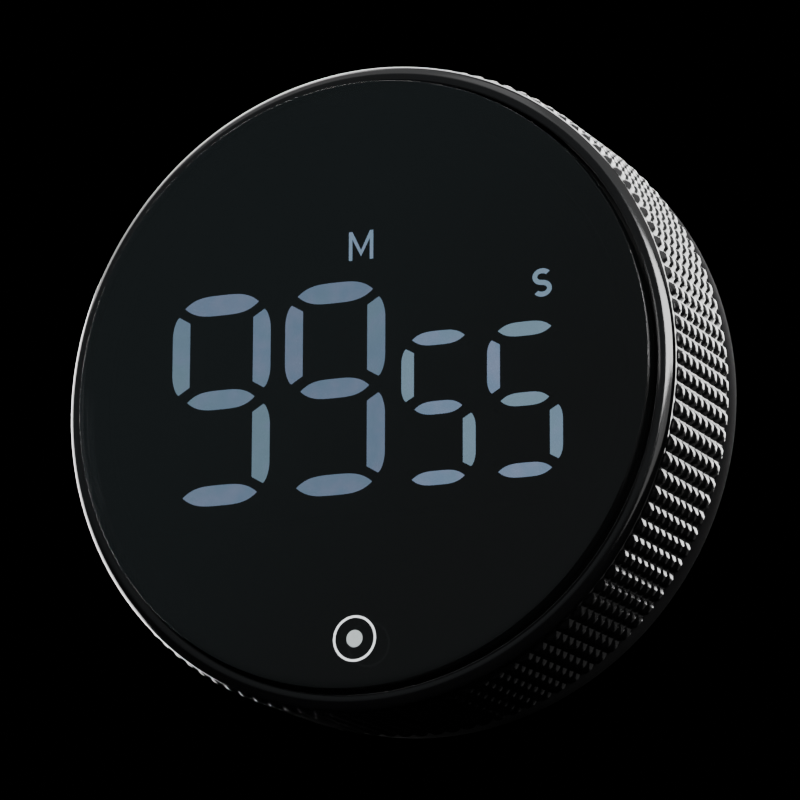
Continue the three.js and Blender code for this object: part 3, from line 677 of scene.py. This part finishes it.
def ring_sections():
    """(radius, y) of the ring's section, and how much of the knurl's height each point takes."""
    low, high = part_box("dial_ring")
    reach, front, back = high.x, low.y, high.y
    bore, band, root = reach - DIAL_WALL, reach - BAND_INSET, reach - KNURL_DEPTH
    start, stop = FACE_Y + KNURL_START, FACE_Y + KNURL_STOP
    lip = fillet((bore + LIP_R, front + LIP_R), LIP_R, 180, 270, 8)
    face = fillet((band - 1.32 * mm, front + FACE_R), FACE_R, -88, -71, 6)
    crown = fillet((band - CROWN_R, front + 0.86 * mm), CROWN_R, -69, 0, 14)
    edge = np.array([(band, 0.25 * mm), (band - 0.06 * mm, 0.15 * mm), (root, 0.08 * mm)])
    before = np.concatenate([lip, face, crown, edge * (1, -1) + (0, start), [(root, start)]])
    along = pitch_shares(ALONG_STOPS, KNURL_RINGS)
    pitch = (stop - start) / KNURL_RINGS
    knurl = np.stack([np.full(along.size, root), start + pitch * (along + 0.5)], -1)
    rim = fillet((band - RIM_R, back - RIM_R), RIM_R, 0, 90, 10)
    inside = [(bore + CHAMFER, back), (bore, back - CHAMFER), (bore, (front + back) / 2)]
    after = np.concatenate([edge[::-1] + (0, stop), rim, inside])
    profile = np.concatenate([before, knurl, after])
    heights = knurl_height(along, ALONG_STOPS, ALONG_HEIGHTS)
    rise = np.concatenate([np.zeros(len(before)), heights, np.zeros(len(after))])
    return profile, rise


def dial_mesh():
    """The section turned about the axis. Its radius grows by the knurl's depth times the
    smaller of two heights, the one round the ring and the one along it."""
    profile, rise = ring_sections()
    share = pitch_shares(ROUND_STOPS, KNURL_ROWS)
    angle = (share * 2 * math.pi / KNURL_ROWS)[:, None]
    round_height = knurl_height(share, ROUND_STOPS, ROUND_HEIGHTS)
    height = np.minimum(round_height[:, None], rise)
    points = swept(profile[:, 0] + KNURL_DEPTH * height, profile[:, 1], angle)
    return grid_mesh("dial_knurled", points, True, True)


def gloss_finish(name, rough, spec):
    """Gloss black moulding with hairline handling marks in its polish."""
    finish = Finish(name, Specular_IOR_Level=spec, IOR=1.52)
    cloud = finish.noise(6 * mm, 4.0)
    hair = finish.noise(0.09 * mm, 3.0, 0.75)
    finish.put("Base Color", finish.blend(cloud, (0.0009, 0.0009, 0.001), (0.0016, 0.0016, 0.0017)))
    finish.put("Roughness", rough + 0.05 * (cloud - 0.5) + 0.04 * (hair - 0.5))
    finish.bump(hair, 0.0025 * mm)
    return finish.material


dial = placed("dial_knurled", dial_mesh(), "dial", "dial_ring", crease=180)
dress(dial, gloss_finish("gloss_black_plastic", 0.1, 0.6))
dial.data.materials.append(gloss_finish("knurl_black_plastic", 0.2, 0.85))
dial.data.materials.append(moulded_finish(
    "eroded_rim_plastic", (0.005, 0.005, 0.0052), (0.007, 0.007, 0.0072), 0.6, spec=0.01
))
# Lip and band, knurl and rim are the first, second and third material.
middles = np.array([face.center.y for face in dial.data.polygons])
borders = [FACE_Y + KNURL_START - 0.1 * mm, FACE_Y + KNURL_STOP + 0.1 * mm]
dial.data.polygons.foreach_set("material_index", np.digitize(middles, borders))
dress(nodes["ring_gear"], acetal)


# --- Cover screws -----------------------------------------------------------------------------
# Four steel screws with cross recesses and bright zinc plate. Their heads are sunk in the
# back, and they hold the cover to the front frame.
for number in range(1, 5):
    dress(refined(f"cover_screw_{number}", 0.08 * mm), zinc)


# --- Floor and light --------------------------------------------------------------------------
# A plain pale floor well below the timer. The softboxes light the timer and not the floor, so
# that the gloss ring mirrors them against darkness.
def floor_mesh(radius=4.0, level=-0.3, rings=24, steps=128):
    """A flat disc below the timer: (reach * cos(angle), reach * sin(angle), level)."""
    angle = whole_turn(steps)
    reach = np.linspace(0, radius, rings)
    x, y = reach * np.cos(angle), reach * np.sin(angle)
    return grid_mesh("floor", np.stack([x, y, np.full(x.shape, level)], -1), True, False)


floor = bpy.data.objects.new("floor", floor_mesh())
bpy.context.scene.collection.objects.link(floor)
floor_finish = Finish("pale_floor", Roughness=0.8)
paper = floor_finish.noise(30 * mm, 3.0)
floor_finish.put("Base Color", floor_finish.blend(paper, (0.70, 0.69, 0.67), (0.74, 0.73, 0.71)))
dress(floor, floor_finish.material)
floor.visible_glossy = False  # the gloss ring doesn't mirror it
floor_only = bpy.data.collections.new("lit_by_the_floor_lamp")
all_but_floor = bpy.data.collections.new("lit_by_the_softboxes")
for group, state in ((floor_only, "INCLUDE"), (all_but_floor, "EXCLUDE")):
    group.objects.link(floor)
    group.collection_objects[0].light_linking.link_state = state


def softbox(name, turn, rise, wide, high, radiance, distance=0.9, onto=all_but_floor):
    """A lamp of even radiance: turn and rise degrees from straight ahead of the face, and as
    many degrees wide and high, seen from the timer. It doesn't show itself to the camera."""
    lamp = bpy.data.lights.new(name, "AREA")
    lamp.shape = "RECTANGLE"
    lamp.size = 2 * distance * math.tan(math.radians(wide / 2))
    lamp.size_y = 2 * distance * math.tan(math.radians(high / 2))
    lamp.energy = radiance * math.pi * lamp.size * lamp.size_y
    box = bpy.data.objects.new(name, lamp)
    bpy.context.scene.collection.objects.link(box)
    away = outward(turn, rise)
    box.location = away * distance
    box.rotation_euler = away.to_track_quat("Z", "Y").to_euler()
    box.visible_camera = False
    box.light_linking.receiver_collection = onto


softbox("front_right_box", 36, 19.3, 66, 17.4, 22.0)
softbox("left_box", -104, 3, 70, 42, 13.0)
softbox("upper_left_box", -82, 45, 40, 42, 5.0)
softbox("top_box", -140, 61, 70, 38, 8.0)
softbox("back_box", 165, 18, 36, 28, 9.0)
softbox("low_back_box", 158, -12, 36, 16, 0.09)
softbox("fill_box", 62, 58, 110, 46, 0.8)
softbox("left_fill_box", -28, 52, 34, 40, 0.8)
softbox("low_fill_box", 40, 0, 60, 18, 1.2)
softbox("floor_lamp", 0, 89, 90, 90, 1.5, 1.6, floor_only)

# The world is a faint cool sky, only ahead of the timer and above it.
world = bpy.data.worlds.new("studio")
bpy.context.scene.world = world
world.use_nodes = True
sky = Graph(world.node_tree)
backdrop = sky.tree.nodes["Background"]
ahead = 1.0 - sky.ramp(sky.axis("Y", "Generated"), -0.5, 0.1)
above = sky.ramp(sky.axis("Z", "Generated"), -0.05, 0.2)
sky.join(0.19 * ahead * above, backdrop.inputs["Strength"])
backdrop.inputs["Color"].default_value = (0.92, 1.0, 1.04, 1)
